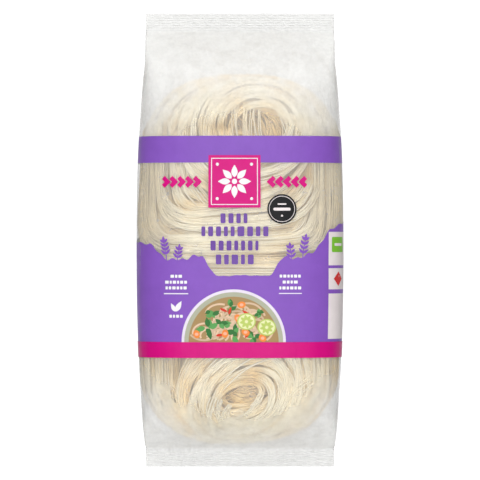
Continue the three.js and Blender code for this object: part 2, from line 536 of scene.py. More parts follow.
# Each nest is one hank of strands, wound round and round from its hidden face to its shown one.
# A loop is its centre across and up from the nest's, its half width and half length, and its tilt
# in degrees. The hank runs smoothly from each loop into the next, one turn later. A crossing is a
# few strands side by side from one point to another, with their bend, their count and their height.
nestLook = {
    "halfWidths": (60.5, 68.5),  # towards the near seal and towards the next nest
    "squareness": (2.6, 7.0),
    "softFrom": 0.82,  # strands past this share of the way to the outline are crowded together
    "sideGap": 0.7,  # kept between the strands and the film's sides
    "strandThickness": 0.8,
    "strandSides": 4,
    "frontStrands": 138,
    "backStrands": 50,
    "stepsPerTurn": 32,
    "hankWidth": 18.0,
    "hankDepth": 0.045,  # as a share of the bag's depth there
    "bundles": 9,
    "bundleWander": 2.6,
    "strandWander": 0.85,
    "looseEnds": 0.8,  # turns over which the strands' ends are spread
    "crossingSteps": 26,
    "crossingPitch": 1.3,  # from one strand of a crossing to the next
    "crossingDive": 0.35,  # how far its ends go down between the others
    "clearance": 0.5,  # between the film and the nearest strand's middle
    "paintedGoldDepth": 8.0,  # a strand this deep has the full golden colour, painted shade of the deep pile
    "pileCell": 2.5,  # of the grid on which the hank's pile is added up
    "pileCells": 56,
    "pileSlices": 6,  # in each turn
    "fullPile": 0.16,  # share of the deepest pile that reaches the film
    "pilePower": 0.3,
    "pressed": 0.6,  # the less, the more strands lie pressed against the film
    "layer": (0.54, 0.97),  # from the middle of the bag to the film, as shares of its depth
    "rim": (0.76, 0.96),  # where a nest starts to get thinner, and how far it does at its outline
    "overlap": 1.08,  # a nest's half length towards the next nest, over its half length
    "sides": (0.45, 0.45),  # how far out the painted shade on the nests' sides starts, and over what reach
    "sideEnds": (75.0, 25.0, 0.4),  # where that painted shade fades along the bag, over what length, and what is left
    # painted shade: strands towards the bag's sides are painted darker and more golden, where the bag
    # curves away from the lamps
    "paintedSideShade": 0.85,
    "paintedSideGold": 0.5,
}
nests = [
    {
        "name": "upper_front_nest", "centre": (0.5, 42.5), "halfLength": 57.5, "front": True,
        "seed": 3, "start": 0.6, "way": 1, "hollow": (12, 26, 14),
        "loops": [
            (0, 0, 40, 38, 0), (-8, -16, 26, 26, 10), (0, -1, 51, 47, 0), (-4, -10, 18, 18, 30),
            (0, 0, 51, 47, 0), (-1, 0, 52, 47, 0), (-1, -2, 50, 47, 0), (-3, 5, 42, 40, 0),
            (1, 13, 34, 31, 5), (8, 20, 27, 25, 8), (11, 24, 24, 20, 8),
        ],
        "crossings": [
            (0, 42, 12, 0, 6, 18, 0.62), (12, 42, 25, 2, 6, 18, 0.66), (2, 43, 4, 2, -3, 8, 0.93),
            (9, 42, 13, 4, -3, 7, 0.93), (20, 40, 27, 6, 5, 7, 0.93), (-32, 26, -16, -26, -9, 8, 0.95),
        ],
    },
    {
        "name": "lower_front_nest", "centre": (-0.5, -65.5), "halfLength": 57.0, "front": True,
        "seed": 8, "start": 2.2, "way": -1, "hollow": (4, -28, 10),
        "loops": [
            (0, 0, 40, 38, 0), (3, 0, 22, 22, 15), (0, 1, 51, 47, 0), (2, -18, 18, 16, 30),
            (0, 1, 51, 47, 0), (-1, -1, 49, 46, 0), (-3, -12, 39, 34, 5), (1, -20, 29, 24, 20),
            (3, -25, 23, 17.5, 28), (4, -29, 19, 13, 30),
        ],
        "crossings": [
            (-16, -30, 26, -14, 5, 16, 0.55), (-14, -12, 24, -36, 5, 14, 0.5),
            (-24, -8, 16, 16, 3, 14, 0.97), (-16, -16, 26, 8, 4, 12, 0.98), (48, -12, 22, -42, -5, 8, 0.95),
        ],
    },
    {
        "name": "upper_back_nest", "centre": (-0.5, 42.5), "halfLength": 54.0, "front": False,
        "seed": 21, "start": 4.0, "way": -1, "hollow": (-3, 5, 15),
        "loops": [
            (0, 0, 41, 40, 0), (5, -4, 32, 33, 0), (0, 0, 47, 43, 0), (-7, 7, 30, 30, 50),
            (0, 1, 48, 44, 0), (6, -5, 30, 31, 20), (1, 0, 48, 45, 0), (-7, -6, 33, 33, 0),
            (6, 6, 33, 30, 10), (-3, 5, 30, 26, 35),
        ],
        "crossings": [(-14, 24, 12, -18, 5, 5, 0.92)],
    },
    {
        "name": "lower_back_nest", "centre": (0.5, -64.5), "halfLength": 54.0, "front": False,
        "seed": 34, "start": 5.1, "way": 1, "hollow": (4, -2, 14),
        "loops": [
            (0, 0, 40, 40, 0), (-5, 5, 31, 33, 20), (0, 0, 47, 44, 0), (8, -4, 30, 30, 0),
            (0, 0, 48, 44, 0), (-6, -6, 31, 31, 20), (0, 0, 48, 45, 0), (6, 6, 34, 32, 0),
            (-5, -5, 33, 31, 60), (4, -2, 29, 27, 30),
        ],
        "crossings": [(16, 20, -12, -20, -5, 5, 0.92)],
    },
]


def squared(wave, power):  # a sine or cosine drawn out towards a square wave
    return np.sign(wave) * np.abs(wave) ** power


# The squareness and the half width of a nest, where along goes from -1 at its lower end to 1.
def outlineAt(nest, along):
    nextTo = smoothStep(0.9 - 2 * along * np.sign(nest["centre"][1]))
    return mix(*nestLook["squareness"], nextTo), mix(*nestLook["halfWidths"], nextTo)


def outAt(nest, x, y):  # 1 on the nest's outline, less inside it
    along = (y - nest["centre"][1]) / nest["halfLength"]
    power, halfWidth = outlineAt(nest, along)
    across = np.abs(x - nest["centre"][0]) / halfWidth
    along = along / np.where(along * nest["centre"][1] > 0, 1, nestLook["overlap"])
    return (across**power + np.abs(along) ** power) ** (1 / power)


def holdIn(nest, x, y):  # draws points softly inside the nest's outline
    centreX, centreY = nest["centre"]
    out = outAt(nest, x, y)
    soft = nestLook["softFrom"]
    crowded = 1 - (1 - soft) * np.exp(-np.maximum(out - soft, 0) / (1 - soft))
    pull = np.minimum(out, crowded) / np.maximum(out, 1e-6)
    x, y = centreX + (x - centreX) * pull, centreY + (y - centreY) * pull
    limit = np.interp(y, rowPlaces, filmReach) - nestLook["sideGap"]
    return np.clip(x, -limit, limit), y


# Puts points inside the film, from 0 at the middle of the bag to 1 at the film that they face.
def settle(nest, x, y, height):
    rimFrom, rimDrop = nestLook["rim"]
    outer = np.clip((outAt(nest, x, y) - rimFrom) / (1 - rimFrom), 0, 1)
    rim = np.sqrt(1 - (outer * rimDrop) ** 2)
    share = mix(*nestLook["layer"], mix(0.5, height, mix(0.35, 1, rim)))
    top = heightAt(heightTop, x, y) - nestLook["clearance"]
    bottom = heightAt(heightBottom, x, y) + nestLook["clearance"]
    top = np.maximum(top, bottom + 0.5)
    share = np.clip(share, 0, 1)
    z = mix(bottom, top, share) if nest["front"] else mix(top, bottom, share)
    # the share of the way down, by which deeper strands are painted golden and darker as painted shade
    depth = (top - z) if nest["front"] else (z - bottom)
    return np.stack([x, y, z], axis=-1), smoothStep(depth / nestLook["paintedGoldDepth"])


# The middle of the hank after some turns, with a strand's own distance outwards from it.
def hankPlace(nest, turns, aside):
    loops = np.array(nest["loops"], dtype=float)
    whole = np.clip(np.floor(turns).astype(int), 0, len(loops) - 2)
    loop = mix(loops[whole], loops[whole + 1], smoothStep(turns - whole)[..., None])
    shiftX, shiftY, halfX, halfY, tilt = np.moveaxis(loop, -1, 0)
    tilt = np.radians(tilt)
    angle = nest["start"] + nest["way"] * 2 * math.pi * turns
    squareness, _ = outlineAt(nest, np.sin(angle))
    power = 2 / mix(2, squareness, smoothStep((np.maximum(halfX, halfY) - 30) / 14))
    across = (halfX + aside) * squared(np.cos(angle), power)
    along = (halfY + aside) * squared(np.sin(angle), power)
    x = nest["centre"][0] + shiftX + across * np.cos(tilt) - along * np.sin(tilt)
    y = nest["centre"][1] + shiftY + across * np.sin(tilt) + along * np.cos(tilt)
    return x, y


# How much of the pile lies under each point of the hank, 0 to 1, as it is wound turn by turn.
def pileUnder(nest, x, y, turns):
    slices = (len(nest["loops"]) - 1) * nestLook["pileSlices"]
    cells = nestLook["pileCells"]
    column = (x - nest["centre"][0]) / nestLook["pileCell"] + cells / 2
    row = (y - nest["centre"][1]) / nestLook["pileCell"] + cells / 2
    when = np.clip(turns * nestLook["pileSlices"], 0, slices - 0.001)
    piles = np.zeros((slices, cells, cells))
    np.add.at(piles, (when.astype(int), row.astype(int), column.astype(int)), 1)
    for axis in (1, 2, 1, 2, 1, 2):
        piles = (np.roll(piles, 1, axis) + 2 * piles + np.roll(piles, -1, axis)) / 4
    under = np.concatenate([np.zeros((1, cells, cells)), np.cumsum(piles, axis=0)])
    total = under[-1]
    share = under / np.clip(total, 1e-6, None)
    full = np.quantile(total, 0.97) * nestLook["fullPile"]
    share = share * np.clip(total / full, 0, 1) ** nestLook["pilePower"]
    found = np.zeros_like(x)
    for index in range(slices):
        mine = when.astype(int) == index
        before = sample(share[index], row[mine], column[mine])
        after = sample(share[index + 1], row[mine], column[mine])
        found[mine] = mix(before, after, when[mine] - index)
    return found


def wander(rng, paces, count, turns, which):  # a smooth random line for each strand or bundle
    pace = np.array(paces) * rng.uniform(0.8, 1.25, (count, len(paces)))
    start = rng.random((count, len(paces)))
    waves = np.sin(2 * math.pi * (pace[which][:, None] * turns[..., None] + start[which][:, None]))
    return waves.sum(axis=-1) / math.sqrt(len(paces))


def hankStrands(nest):
    rng = np.random.default_rng(nest["seed"])
    count = nestLook["frontStrands"] if nest["front"] else nestLook["backStrands"]
    turnCount = len(nest["loops"]) - 1
    starts = rng.uniform(0, nestLook["looseEnds"], (count, 1))
    ends = turnCount - nestLook["looseEnds"] * rng.random((count, 1)) ** 1.5
    turns = mix(starts, ends, np.linspace(0, 1, turnCount * nestLook["stepsPerTurn"])[None, :])
    # Strands side by side in the hank, in bundles that wander together and cross their neighbours.
    order = (np.arange(count) + rng.random(count)) / count - 0.5
    each = np.arange(count)
    bundles = nestLook["bundles"]
    bundle = each * bundles // count
    aside = order[:, None] * nestLook["hankWidth"]
    aside = aside + nestLook["bundleWander"] * wander(rng, (0.7, 1.3), bundles, turns, bundle)
    aside = aside + nestLook["strandWander"] * wander(rng, (1.1, 2.3), count, turns, each)
    up = rng.uniform(-0.5, 0.5, (count, 1)) + 0.35 * wander(rng, (0.6, 1.1), bundles, turns, bundle)
    up = up + 0.15 * wander(rng, (0.9, 1.9), count, turns, each)
    x, y = holdIn(nest, *hankPlace(nest, turns, aside))
    height = pileUnder(nest, x, y, turns) ** nestLook["pressed"] + 2 * up * nestLook["hankDepth"]
    return x, y, height, rng.random((count, 1)) * np.ones_like(x)


def crossingStrands(nest):
    rng = np.random.default_rng(nest["seed"] + 300)
    groups = []
    along = np.linspace(0, 1, nestLook["crossingSteps"])[None, :]
    for startX, startY, endX, endY, bend, count, level in nest["crossings"]:
        way = np.array([endX - startX, endY - startY]) / math.hypot(endX - startX, endY - startY)
        each = np.arange(count)
        aside = bend * np.sin(math.pi * along) + nestLook["crossingPitch"] * (each[:, None] - count / 2)
        aside = aside + wander(rng, (0.5, 0.9), count, along * np.ones((count, 1)), each)
        x = nest["centre"][0] + mix(startX, endX, along) - way[1] * aside
        y = nest["centre"][1] + mix(startY, endY, along) + way[0] * aside
        dive = nestLook["crossingDive"] * np.abs(2 * along - 1) ** 6
        height = level + rng.uniform(-0.05, 0.05, (count, 1)) - dive
        groups.append((*holdIn(nest, x, y), height, rng.random((count, 1)) * np.ones_like(x)))
    return groups


# Geometry Nodes turn the strands' middle lines into closed round tubes.
def makeStrandTree():
    tree = bpy.data.node_groups.new("roundStrands", "GeometryNodeTree")
    sockets = (("Geometry", "Geometry"), ("Thickness", "Float"), ("Sides", "Int"), ("Material", "Material"))
    for name, kind in sockets:
        tree.interface.new_socket(name, in_out="INPUT", socket_type="NodeSocket" + kind)
    tree.interface.new_socket("Geometry", in_out="OUTPUT", socket_type="NodeSocketGeometry")
    given = addNode(tree, "NodeGroupInput", (-700, 0)).outputs
    lines = addNode(tree, "GeometryNodeMeshToCurve", (-400, 100), {"Mesh": given["Geometry"]})
    inputs = {"Radius": calculate(tree, "MULTIPLY", (-400, -150), given["Thickness"], 0.5)}
    inputs["Resolution"] = given["Sides"]
    circle = addNode(tree, "GeometryNodeCurvePrimitiveCircle", (-150, -150), inputs)
    inputs = {"Curve": lines.outputs["Curve"], "Profile Curve": circle.outputs["Curve"], "Fill Caps": True}
    shape = addNode(tree, "GeometryNodeCurveToMesh", (100, 50), inputs).outputs["Mesh"]
    for index, kind in enumerate(("SetShadeSmooth", "RealizeInstances", "SetMaterial")):
        last = addNode(tree, "GeometryNode" + kind, (300 + 200 * index, 50), {"Geometry": shape})
        shape = last.outputs["Geometry"]
    feed(tree, last, {"Material": given["Material"]})
    addNode(tree, "NodeGroupOutput", (900, 0), {"Geometry": shape})
    return tree


strandTree = makeStrandTree()


def makeStrands(name, nest, groups):
    points, depths, tones, edges = [], [], [], []
    first = 0
    sideStart, sideReach = nestLook["sides"]
    endAt, endReach, endShare = nestLook["sideEnds"]
    for x, y, height, tone in groups:
        place, depth = settle(nest, x, y, height)
        # Painted shade at the nests' sides: darker tone and more golden colour towards the bag's sides,
        # less towards the seals
        side = smoothStep((np.abs(x) / bag["bodyHalfWidth"] - sideStart) / sideReach)
        side = side * mix(endShare, 1, smoothStep((endAt - np.abs(y)) / endReach))
        index = first + np.arange(x.size).reshape(x.shape)
        edges.append(np.stack([index[:, :-1], index[:, 1:]], axis=-1).reshape(-1, 2))
        points.append(place.reshape(-1, 3))
        depths.append(np.maximum(depth, nestLook["paintedSideGold"] * side).ravel())
        tones.append((1 - 0.2 * tone - nestLook["paintedSideShade"] * side).ravel())
        first += x.size
    mesh = bpy.data.meshes.new(name)
    mesh.from_pydata((np.concatenate(points) * metres).tolist(), np.concatenate(edges).tolist(), [])
    addValues(mesh, "depth", np.concatenate(depths))
    addValues(mesh, "tone", np.concatenate(tones))
    lines = bpy.data.objects.new(name, mesh)
    bpy.context.scene.collection.objects.link(lines)
    modifier = lines.modifiers.new("strands", "NODES")
    modifier.node_group = strandTree
    inputs = {"Thickness": nestLook["strandThickness"] * metres, "Sides": nestLook["strandSides"]}
    inputs["Material"] = noodleMaterial
    for item in strandTree.interface.items_tree:  # set by each socket's identifier
        if item.in_out == "INPUT" and item.name in inputs:
            modifier[item.identifier] = inputs[item.name]
    graph = bpy.context.evaluated_depsgraph_get()
    lines.data = bpy.data.meshes.new_from_object(lines.evaluated_get(graph), depsgraph=graph)
    lines.modifiers.clear()
    dress(lines)
    print(name, len(lines.data.polygons), "faces")


coreLook = {
    "reach": 0.84,
    "middle": 0.14,  # height of its edge
    "top": 0.36,
    "hollow": 0.45,
    "rings": 16,
    "spokes": 72,
    "lump": 0.03,
    "lumps": 6,
    "tone": 0.82,
}


# The middle of a nest, under its strands: a lumpy disc, hollowed where the hank leaves a gap.
def makeCore(nest):
    rng = np.random.default_rng(nest["seed"] + 200)
    count = coreLook["spokes"]
    spokes = np.arange(count) / count * 2 * math.pi
    out = np.sin(np.linspace(0.04, 1, coreLook["rings"]) * math.pi / 2)
    layers = [(radius, 1) for radius in out] + [(radius, -1) for radius in out[-2::-1]]
    lumps = rng.uniform(0, 2 * math.pi, coreLook["lumps"])
    hollowX, hollowY, hollowReach = nest["hollow"]
    squareness, halfWidth = outlineAt(nest, np.sin(spokes))
    acrossX = squared(np.cos(spokes), 2 / squareness)
    acrossY = squared(np.sin(spokes), 2 / squareness)
    vertices, depths = [], []
    for radius, side in layers:
        reach = radius * coreLook["reach"]
        shiftX, shiftY = reach * halfWidth * acrossX, reach * nest["halfLength"] * acrossY
        away = np.hypot(shiftX - hollowX, shiftY - hollowY) / hollowReach
        rise = max(1 - radius**2, 0) ** 0.25
        top = coreLook["top"] * (1 - coreLook["hollow"] * np.exp(-(away**2))) if side > 0 else 0.01
        lump = sum(np.sin((k + 2) * spokes + turn + 3 * radius) for k, turn in enumerate(lumps))
        height = mix(coreLook["middle"], top, rise) + coreLook["lump"] * lump * radius / 2
        place, depth = settle(nest, nest["centre"][0] + shiftX, nest["centre"][1] + shiftY, height)
        vertices.append(place)
        depths.append(depth)
    vertices, depths = np.concatenate(vertices), np.concatenate(depths)
    faces = [(a, d, c, b) for a, b, c, d in ringFaces(len(layers), count)]
    faces.append(tuple(range(count)))
    faces.append(tuple(range(len(vertices) - 1, len(vertices) - count - 1, -1)))
    if not nest["front"]:  # this nest faces down, which turned its core inside out
        faces = [face[::-1] for face in faces]
    core = makePiece(nest["name"].replace("nest", "core"), vertices, faces, noodleMaterial)
    # the core lies deep, so it is painted golden as painted shade
    addValues(core.data, "depth", depths)
    addValues(core.data, "tone", np.full(len(depths), coreLook["tone"]))
    dress(core)


for nest in nests:
    makeCore(nest)
    groups = [hankStrands(nest), *crossingStrands(nest)]
    parts = ("_strands_a", "_strands_b") if nest["front"] else ("_strands_a",)  # light enough to handle
    for index, part in enumerate(parts):
        mine = [[values[index :: len(parts)] for values in group] for group in groups]
        makeStrands(nest["name"] + part, nest, mine)


# How milky the film looks: 0 where it lies on a nest and 1 well away from it. The nests hold it
# tight round the middle of the bag, and towards the seals its sides come loose as well.
def hazeAt(x, y):
    haze = np.zeros_like(x)
    power, halfWidth = nestLook["squareness"][0], nestLook["halfWidths"][0]
    for nest, (start, reach, looseFrom, looseReach) in zip(nests, filmLook["haze"]):
        end = math.copysign(1, nest["centre"][1])
        along = end * (y - nest["centre"][1]) / nest["halfLength"]
        across = np.abs(x - nest["centre"][0]) / halfWidth
        loose = smoothStep((along - looseFrom) / looseReach)
        out = (loose * across**power + np.clip(along, 0, None) ** power) ** (1 / power)
        mine = smoothStep((out - start) / reach)
        haze = np.where(end * (y - bag["valleyAt"]) > 0, np.maximum(haze, mine), haze)
    return haze


# The film, closed by a flat strip across each cut edge.
def makeFilm():
    faces = ringFaces(len(rings), aroundCount)
    half = aroundCount // 2
    for row in (0, len(rings) - 1):
        for i in range(-half // 2, half // 2):
            corners = [turn % aroundCount for turn in (i, i + 1, half - i - 1, half - i)]
            face = [row * aroundCount + corner for corner in dict.fromkeys(corners)]
            faces.append(tuple(face if row else face[::-1]))
    film = makePiece("clear_film", rings.reshape(-1, 3), faces, filmMaterial)
    addValues(film.data, "haze", hazeAt(rings[:, :, 0], rings[:, :, 1]))
    # slope: how steeply the film runs down towards a seal, where its colour is painted lighter as painted
    # light
    addValues(film.data, "slope", smoothStep(np.abs(ringNormals[:, :, 1]) * 1.4 - 0.1))
    addValues(film.data, "sealed", np.repeat(smoothStep(np.abs(rowPlaces) - sealInner + 1), aroundCount))
    dress(film)


makeFilm()
print("film made")

# The printed artwork, flat, in millimetres: X round the bag from the middle of the front, Y up it.
art = {
    "bandTop": 60.0,
    "windowTop": 44.6,
    "stripeTop": -58.8,
    "stripeBottom": -67.9,
    "backEdge": 92.0,  # the back panel's print starts here
    "spacing": 2.4,  # between the points of the printed patches
    "lift": 0.05,  # of the lowest print over the film
    "layerStep": 0.4,  # share of that lift between the layers of a picture
}


def placed(x, y, along, aside, turn):  # a point that lies along and aside of a direction
    px = x + along * math.cos(turn) - aside * math.sin(turn)
    return px, y + along * math.sin(turn) + aside * math.cos(turn)


def polar(x, y, reach, heading):
    return placed(x, y, reach, 0, math.radians(heading))


def rectangle(left, bottom, right, top):
    return [(left, bottom), (right, bottom), (right, top), (left, top)]


def ellipse(x, y, radiusX, radiusY=None, turn=0.0, end=360.0, points=48):
    radiusY = radiusY or radiusX
    outline = []
    for i in range(points if end == 360 else points + 1):
        angle = math.radians(end * i / points)
        outline.append(placed(x, y, radiusX * math.cos(angle), radiusY * math.sin(angle), turn))
    return outline


def roundedBar(left, bottom, right, top, radius):
    low, high = bottom + radius, top - radius
    corners = [(right - radius, low, 270), (right - radius, high, 0), (left + radius, high, 90)]
    corners.append((left + radius, low, 180))
    return [polar(x, y, radius, start + 90 * step / 4) for x, y, start in corners for step in range(5)]


def leaf(x, y, length, width, heading):  # from its stalk end, pointing the way of heading in degrees
    outline = []
    for side, shares in ((1, np.linspace(0, 1, 11)[:-1]), (-1, np.linspace(1, 0, 11)[:-1])):
        for share in shares:
            aside = side * width / 2 * math.sin(math.pi * share**0.8)
            outline.append(placed(x, y, share * length, aside, math.radians(heading)))
    return outline


def curvedStrip(points, width):  # a band of even width along a smooth line
    points = np.array(points, dtype=float)
    ahead = unit(np.gradient(points, axis=0))
    aside = np.stack([-ahead[:, 1], ahead[:, 0]], axis=1) * width / 2
    return [tuple(point) for point in np.concatenate([points - aside, (points + aside)[::-1]])]


def inside(points, outline):
    x, y = points[:, 0], points[:, 1]
    hit = np.zeros(len(points), dtype=bool)
    for (ax, ay), (bx, by) in zip(outline, outline[1:] + outline[:1]):
        if ay == by:
            continue
        crosses = (ay > y) != (by > y)
        hit ^= crosses & (x < (bx - ax) * (y - ay) / (by - ay) + ax)
    return hit


def fill(outline):  # triangles over an outline, fine enough to bend with the film
    spacing = art["spacing"]
    edge = []
    for (ax, ay), (bx, by) in zip(outline, outline[1:] + outline[:1]):
        steps = max(1, math.ceil(math.hypot(bx - ax, by - ay) / spacing))
        edge += [(mix(ax, bx, i / steps), mix(ay, by, i / steps)) for i in range(steps)]
    limits = zip(np.min(edge, axis=0), np.max(edge, axis=0))
    grid = np.meshgrid(*[np.arange(low + spacing / 2, high, spacing) for low, high in limits])
    middle = np.stack(grid, axis=-1).reshape(-1, 2)
    middle = middle[inside(middle, outline)]
    if len(middle):
        gaps = np.linalg.norm(middle[:, None] - np.array(edge)[None], axis=2).min(axis=1)
        middle = middle[gaps > spacing * 0.4]
    points = [Vector(point) for point in edge] + [Vector(point) for point in middle]
    loop = [(i, (i + 1) % len(edge)) for i in range(len(edge))]
    found = delaunay_2d_cdt(points, loop, [], 1, 1e-5)
    vertices = np.array([tuple(point) for point in found[0]])
    faces = []
    for a, b, c in found[2]:
        ab, ac = vertices[b] - vertices[a], vertices[c] - vertices[a]
        faces.append((a, b, c) if ab[0] * ac[1] - ab[1] * ac[0] > 0 else (a, c, b))
    return vertices, faces


# One printed piece out of flat shapes. Each shape is its outline, or its outline, its colour and
# its layer, where higher layers lie on lower ones.
def printPiece(name, shapes, ink, level=1):
    vertices, faces, colours = [], [], []
    first = 0
    for shape in shapes:
        outline, colour, layer = shape if isinstance(shape, tuple) else (shape, None, 0)
        flat, triangles = fill(outline)
        vertices.append(onFilm(flat, art["lift"] * (level + art["layerStep"] * layer)))
        faces += [tuple(first + corner for corner in triangle) for triangle in triangles]
        colours += [colour] * len(flat)
        first += len(flat)
    piece = makePiece(name, np.concatenate(vertices), faces, inkMaterials[ink])
    if colours[0] is not None:
        layer = piece.data.color_attributes.new("ink", "FLOAT_COLOR", "POINT")
        values = np.array([(*colour, 1) for colour in colours], dtype=np.float32)
        layer.data.foreach_set("color", values.ravel())
    dress(piece)


# The top of the lower purple field: low hills at both sides of a hollow for the title.
hills = {
    "edge": 59.0,
    "lowest": -20.5,
    "bank": 9.0,  # width of the hollow's slopes
    "ripple": 1.1,
    # Each side's direction, where its hill starts, its heights over the lowest beside the hollow
    # and at the edge, and the width of the rise to the edge.
    "sides": ((-1, -13.0, 10.0, 19.0, 20.0), (1, 16.0, 9.5, 29.0, 26.0)),
}


def hillLine():
    x = np.linspace(-hills["edge"], hills["edge"], 141)
    height, banks = np.full_like(x, hills["lowest"]), np.zeros_like(x)
    for way, start, near, far, slope in hills["sides"]:
        bank = smoothStep(way * (x - start) / hills["bank"])
        height += near * bank + (far - near) * smoothStep((way * x - hills["edge"] + slope) / slope)
        banks += bank
    waves = np.sin(x / 1.3) * np.sin(x / 3.7) + 0.8 * np.sin(x / 4.4 + 1)
    return list(zip(roundAt(x), height + hills["ripple"] * (0.25 + banks) * waves))


def purpleBand():
    edge, back, top = girth / 2, art["backEdge"], art["windowTop"]
    line = hillLine()
    leftTop, rightTop = line[0][1], line[-1][1]
    lower = [(-edge, art["stripeTop"]), (edge, art["stripeTop"]), (edge, top), (back, top)]
    lower += [(back - 1.5, rightTop + 12), (back - 9, rightTop + 3), *line[::-1]]
    lower += [(-back + 9, leftTop + 3), (-back + 1.5, leftTop + 12), (-back, top), (-edge, top)]
    return [rectangle(-edge, top, edge, art["bandTop"]), lower]


def herbSprig(x, y, stalk, pairs, lean):  # an upright stalk with pairs of leaves and one at its tip
    line = [(x + lean * share**2, y + stalk * share) for share in np.linspace(0, 1, 7)]
    shapes = [curvedStrip(line, 0.55), leaf(x + lean, y + stalk, 3.4, 1.6, 90 - 5 * lean)]
    for pair in range(pairs):
        share = mix(0.35, 0.95, pair / (pairs - 1))
        stem = (x + lean * share**2, y + stalk * share)
        for side in (-48, 48):
            shapes.append(leaf(*stem, mix(4.4, 3.2, share), 1.5, 90 + side - 5 * lean))
    return shapes


sprigs = [  # each with its foot, its stalk's height, its pairs of leaves and its lean
    (-43.0, -12.0, 11.0, 4, -1.5), (-36.5, -13.0, 7.5, 3, 1.2),
    (30.0, -13.0, 8.5, 3, -1.0), (36.5, -12.0, 12.5, 4, 1.5),
]
printPiece("purple_band", purpleBand(), "purple")
printPiece("herb_sprigs", [shape for sprig in sprigs for shape in herbSprig(*sprig)], "purple", 1.5)
print("purple band printed")

emblem = {"x": -3.2, "y": 33.7, "half": 15.1, "border": 1.6, "line": 0.45, "petals": 8}
chevrons = {
    "y": 33.5,
    "halfDiamond": (1.75, 1.85),  # across and up
    "pitch": 4.6,
    "count": 5,
    "ends": ((-22.0, 1), (15.4, -1)),  # where the two rows end and which way they point
}


def chevronRows():  # each chevron is three woven diamonds: one at its tip, two behind
    shapes = []
    across, up = chevrons["halfDiamond"]
    for end, pointing in chevrons["ends"]:
        for index in range(chevrons["count"]):
            tip = end - pointing * index * chevrons["pitch"]
            for back, side in ((1.0, 0), (2.0, 1), (2.0, -1)):
                x, y = tip - pointing * back * across, chevrons["y"] + side * up * 0.9
                shapes.append([(x + across, y), (x, y + up), (x - across, y), (x, y - up)])
    return shapes


def squareSides(x, y, half):
    return x - half, y - half, x + half, y + half


stripe = rectangle(-girth / 2, art["stripeBottom"], girth / 2, art["stripeTop"])
emblemSquare = rectangle(*squareSides(emblem["x"], emblem["y"], emblem["half"]))
printPiece("pink_print", [*chevronRows(), stripe], "pink", level=6)
printPiece("pink_square", [emblemSquare], "pink", level=2)


def emblemShapes():
    x, y = emblem["x"], emblem["y"]
    left, bottom, right, top = squareSides(x, y, emblem["half"] - emblem["border"])
    line = emblem["line"]
    shapes = [
        rectangle(left, top - line, right, top),
        rectangle(left, bottom, right, bottom + line),
        rectangle(left, bottom + line, left + line, top - line),
        rectangle(right - line, bottom + line, right, top - line),
        ellipse(x, y, 1.5, points=20),
    ]
    for petal in range(emblem["petals"]):
        heading = 360 / emblem["petals"] * petal
        shapes.append(leaf(*polar(x, y, 2.4, heading), 7.2, 3.6, heading))
    for corner in (45, 135, 225, 315):
        shapes.append(ellipse(*polar(x, y, 14, corner), 0.9, points=16))
    return shapes


# Plain blocks of the lettering's size stand in its place: left, right, middle height and count.
titleRows = [(-11.2, 4.2, 12.5, 4), (-22.2, 16.3, 5.0, 9), (-17.0, 10.6, -3.2, 7), (-14.0, 7.9, -11.2, 5)]
titleLook = {"height": 5.6, "gap": 1.7, "radius": 0.7, "uneven": 0.3, "seed": 5}
noteRows = [
    (-40.4, -33.6, -20.9, 3), (-43.6, -30.6, -24.3, 6), (-43.4, -30.8, -27.6, 6),
    (22.9, 35.2, -20.8, 6), (24.6, 33.4, -24.2, 4), (22.7, 35.4, -27.6, 6), (-41.2, -33.2, -43.9, 4),
]
noteLook = {"height": 1.7, "gap": 0.6, "radius": 0.3, "uneven": 0.3}


def blockRows(rng, rows, look):  # rows of blocks of uneven widths
    shapes = []
    for left, right, middle, count in rows:
        widths = 1 + rng.uniform(-look["uneven"], look["uneven"], count)
        widths *= (right - left - look["gap"] * (count - 1)) / widths.sum()
        bottom, top = middle - look["height"] / 2, middle + look["height"] / 2
        for width in widths:
            shapes.append(roundedBar(left, bottom, left + width, top, look["radius"]))
            left += width + look["gap"]
    return shapes


titleRandom = np.random.default_rng(titleLook["seed"])
printPiece("title_blocks", blockRows(titleRandom, titleRows, titleLook), "title")
whiteShapes = emblemShapes() + blockRows(titleRandom, noteRows, noteLook)
whiteShapes += [rectangle(-44.4, -31.2, -29.9, -30.6), rectangle(22.4, -31.0, 35.8, -30.5)]
whiteShapes += [leaf(-37.4, -41.2, 7.0, 3.0, 60), leaf(-37.6, -41.2, 5.4, 2.4, 118)]
printPiece("white_print", whiteShapes, "white", level=3)

badge = {
    "x": 24.2,
    "y": 17.9,
    "radius": 8.5,
    "ring": (7.35, 0.3),
    "bars": ((5.0, -1.0, 0.7, 0.8), (2.6, 2.4, 3.2, 0.4)),  # half width, bottom, top, corner radius
    "dot": (-3.9, 0.6),
}


def badgeMarks():
    x, y = badge["x"], badge["y"]
    shapes = []
    radius, width = badge["ring"]
    for start in (0, 180):  # a thin ring as two halves
        line = [polar(x, y, radius, start + heading) for heading in np.linspace(0, 180, 25)]
        shapes.append(curvedStrip(line, width))
    for half, bottom, top, corner in badge["bars"]:
        shapes.append(roundedBar(x - half, y + bottom, x + half, y + top, corner))
    shapes.append(ellipse(x, y + badge["dot"][0], badge["dot"][1], points=16))
    return shapes


printPiece("black_badge", [ellipse(badge["x"], badge["y"], badge["radius"])], "black", level=2)
printPiece("badge_marks", badgeMarks(), "paper", level=3)
print("front print laid on")

